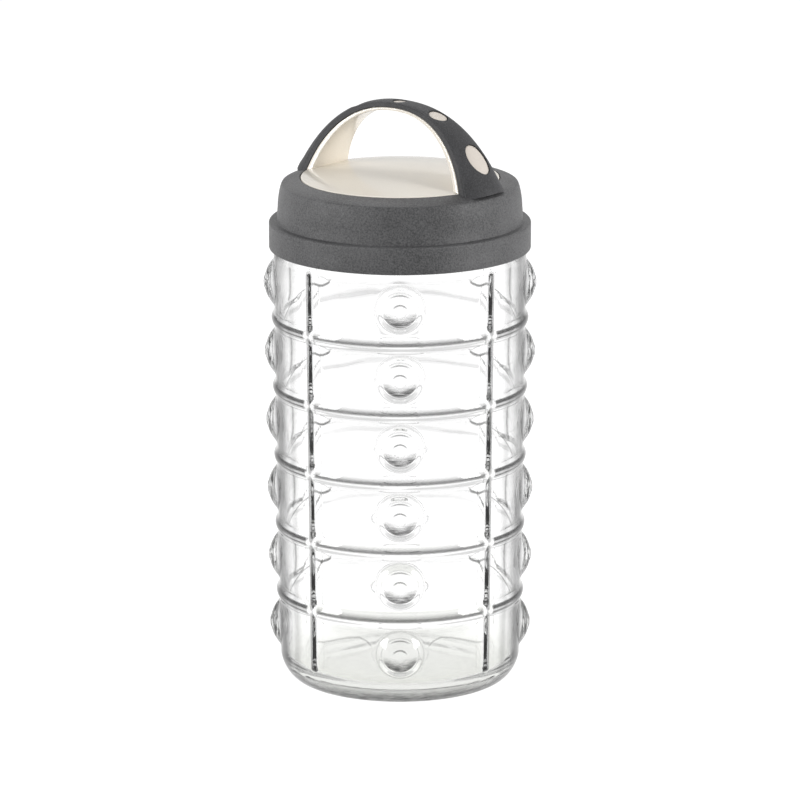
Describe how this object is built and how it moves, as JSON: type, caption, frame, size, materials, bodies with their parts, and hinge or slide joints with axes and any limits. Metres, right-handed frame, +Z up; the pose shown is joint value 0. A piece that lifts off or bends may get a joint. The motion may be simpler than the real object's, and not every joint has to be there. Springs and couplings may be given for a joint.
{
  "type": "storage jar",
  "caption": "Tall clear glass storage jar with raised grid lines and round bumps, closed by a stepped two-colour twist-off lid with an arched carrying handle.",
  "frame": {"origin": "centre of the jar's foot, on the surface that it stands on", "axes": "+Z up along the jar's axis; -Y is the side with the first column of bumps, facing the camera; the handle lies 38 degrees clockwise from +X seen from above"},
  "size_m": [0.1194, 0.1194, 0.258],
  "materials": {
    "glass": "clear, fire polished",
    "silicone": "matt, milky",
    "ivory_plastic": "satin gloss",
    "grey_plastic": "fine spark-eroded texture"
  },
  "bodies": {
    "jar": {"glass_jar": "glass"},
    "seal": {"seal_ring": "silicone"},
    "lid": {"lid_insert": "ivory_plastic", "lid_shell": "grey_plastic"}
  },
  "joints": [
    {"name": "lid_lift", "type": "slide", "parent": "jar", "child": "seal", "axis": [0, 0, 1], "range_m": [0, 0.06]},
    {"name": "lid_turn", "type": "hinge", "parent": "seal", "child": "lid", "pos_m": [0, 0, 0.2], "axis": [0, 0, 1], "range_deg": [-30, 0]}
  ]
}
